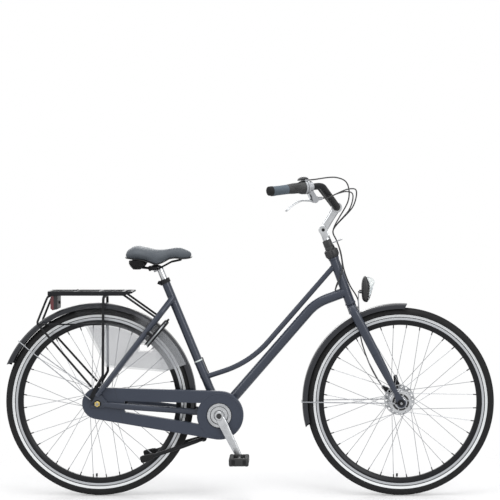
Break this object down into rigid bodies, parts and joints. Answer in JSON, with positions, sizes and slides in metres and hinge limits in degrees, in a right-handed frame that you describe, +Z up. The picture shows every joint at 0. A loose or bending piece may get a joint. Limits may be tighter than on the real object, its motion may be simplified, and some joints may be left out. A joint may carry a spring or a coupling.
{
  "type": "city bicycle",
  "caption": "Step-through city bicycle with full chaincase, coat guards, carrier, ring lock, hub brakes, centre stand and an adjustable stem with a twist shifter.",
  "frame": {"origin": "on the ground, midway between the foremost and rearmost points of the tyres and midway across the handlebar", "axes": "+X forward, the way it rides, +Y to the rider's left, +Z up"},
  "size_m": [1.8156, 0.635, 1.1827],
  "materials": {
    "frame_paint": "satin dark blue-grey enamel",
    "case_plastic": "satin moulded plastic in the frame's colour",
    "black_plastic": "moulded black plastic",
    "guard_plastic": "glossy laminated mudguard",
    "tyre_rubber": "vulcanised tread rubber",
    "grip_rubber": "soft slate-grey grip rubber",
    "black_metal": "black powder coat",
    "rim_black": "black anodised aluminium rim",
    "bare_aluminium": "polished and brushed",
    "steel": "bright zinc plate",
    "passivated_steel": "yellow passivated zinc",
    "saddle_cover": "grained grey vinyl over foam",
    "coat_vinyl": "thin clear plastic sheet, frosted",
    "lamp_red": "clear red lens"
  },
  "bodies": {
    "frame": {"head_tube": "frame_paint", "down_tube": "frame_paint", "top_tube": "frame_paint", "seat_tube": "frame_paint", "chain_stays": "frame_paint", "seat_stays": "frame_paint", "seat_clamp": "black_metal", "rear_mudguard": "guard_plastic", "rear_mudguard_stay": "steel", "carrier_platform": "black_metal", "carrier_rear_legs": "black_metal", "carrier_struts": "black_metal", "tail_light": "lamp_red", "coat_guard_right": "coat_vinyl", "coat_guard_left": "coat_vinyl", "chaincase": "case_plastic", "ring_lock": "black_metal", "rear_axle": "passivated_steel", "rear_brake": "bare_aluminium", "chain": "steel", "cable_gear_lower": "black_plastic", "cable_rear_brake_lower": "black_plastic"},
    "steering": {"fork": "frame_paint", "headset_adjuster": "black_plastic", "stem_post": "bare_aluminium", "front_mudguard": "guard_plastic", "front_mudguard_stay": "steel", "headlight": "black_plastic", "front_axle": "black_metal", "front_brake": "bare_aluminium", "cable_front_brake_lower": "black_plastic"},
    "handlebar": {"stem_arm": "bare_aluminium", "handlebar": "black_metal", "grip_right": "grip_rubber", "grip_left": "grip_rubber", "lever_bracket_right": "bare_aluminium", "lever_bracket_left": "bare_aluminium", "shifter_housing": "bare_aluminium", "cable_gear_upper": "black_plastic", "cable_front_brake_upper": "black_plastic", "cable_rear_brake_upper": "black_plastic"},
    "shifter": {"shifter_grip": "black_plastic"},
    "lever_right": {"brake_lever_right": "bare_aluminium"},
    "lever_left": {"brake_lever_left": "bare_aluminium"},
    "front_wheel": {"front_tyre": "tyre_rubber", "front_rim": "rim_black", "front_hub": "steel"},
    "rear_wheel": {"rear_tyre": "tyre_rubber", "rear_rim": "rim_black", "rear_hub": "steel"},
    "sprocket": {"rear_sprocket": "steel"},
    "crankset": {"crank_right": "bare_aluminium", "crank_left": "bare_aluminium"},
    "pedal_right": {"pedal_right": "black_plastic"},
    "pedal_left": {"pedal_left": "black_plastic"},
    "kickstand": {"kickstand": "black_metal"},
    "lock_bolt": {"lock_bolt": "steel"},
    "saddle": {"seatpost": "black_metal", "saddle_base": "black_plastic", "saddle_cover": "saddle_cover"}
  },
  "joints": [
    {"name": "steering", "type": "hinge", "parent": "frame", "child": "steering", "pos_m": [0.37478, 0, 0.71], "axis": [-0.3486, 0, 0.9373], "range_deg": [-60, 60], "deforming": ["cable_gear_lower", "cable_rear_brake_lower"]},
    {"name": "stem_tilt", "type": "hinge", "parent": "steering", "child": "handlebar", "pos_m": [0.27184, 0, 0.98678], "axis": [0, 1, 0], "range_deg": [-30, 15], "deforming": ["cable_gear_upper", "cable_front_brake_upper", "cable_rear_brake_upper"]},
    {"name": "front_wheel_spin", "type": "hinge", "parent": "steering", "child": "front_wheel", "pos_m": [0.55875, 0, 0.349], "axis": [0, 1, 0], "continuous": true},
    {"name": "rear_wheel_spin", "type": "hinge", "parent": "frame", "child": "rear_wheel", "pos_m": [-0.55875, 0, 0.349], "axis": [0, 1, 0], "continuous": true},
    {"name": "crank_spin", "type": "hinge", "parent": "frame", "child": "crankset", "pos_m": [-0.112, 0, 0.305], "axis": [0, 1, 0], "continuous": true, "deforming": ["chain"]},
    {"name": "sprocket_spin", "type": "hinge", "parent": "frame", "child": "sprocket", "pos_m": [-0.55875, 0, 0.349], "axis": [0, 1, 0], "continuous": true},
    {"name": "pedal_right_spin", "type": "hinge", "parent": "crankset", "child": "pedal_right", "pos_m": [-0.03615, -0.13, 0.15286], "axis": [0, 1, 0], "continuous": true},
    {"name": "pedal_left_spin", "type": "hinge", "parent": "crankset", "child": "pedal_left", "pos_m": [-0.18785, 0.13, 0.45714], "axis": [0, 1, 0], "continuous": true},
    {"name": "shifter_twist", "type": "hinge", "parent": "handlebar", "child": "shifter", "pos_m": [0.16783, -0.24492, 1.13942], "axis": [0.8439, 0.528, 0.0948], "range_deg": [0, 160]},
    {"name": "brake_lever_right_pull", "type": "hinge", "parent": "handlebar", "child": "lever_right", "pos_m": [0.23693, -0.19206, 1.10118], "axis": [-0.5363, 0.8261, 0.1729], "range_deg": [0, 18], "stiffness_Nm_per_rad": 1.5, "springref_deg": -11.46},
    {"name": "brake_lever_left_pull", "type": "hinge", "parent": "handlebar", "child": "lever_left", "pos_m": [0.23693, 0.19206, 1.10118], "axis": [0.5363, 0.8261, -0.1729], "range_deg": [0, 18], "stiffness_Nm_per_rad": 1.5, "springref_deg": -11.46},
    {"name": "kickstand_swing", "type": "hinge", "parent": "frame", "child": "kickstand", "pos_m": [-0.1725, 0, 0.213], "axis": [0, -1, 0], "range_deg": [0, 85]},
    {"name": "lock_bolt_turn", "type": "hinge", "parent": "frame", "child": "lock_bolt", "pos_m": [-0.35563, 0, 0.59107], "axis": [0.766, 0, -0.6428], "range_deg": [0, 120]},
    {"name": "saddle_height", "type": "slide", "parent": "frame", "child": "saddle", "axis": [-0.3843, 0, 0.9232], "range_m": [-0.025, 0.08]}
  ],
  "couplings": [
    {"joint": "sprocket_spin", "follows": "crank_spin", "ratio": 2.1111}
  ]
}
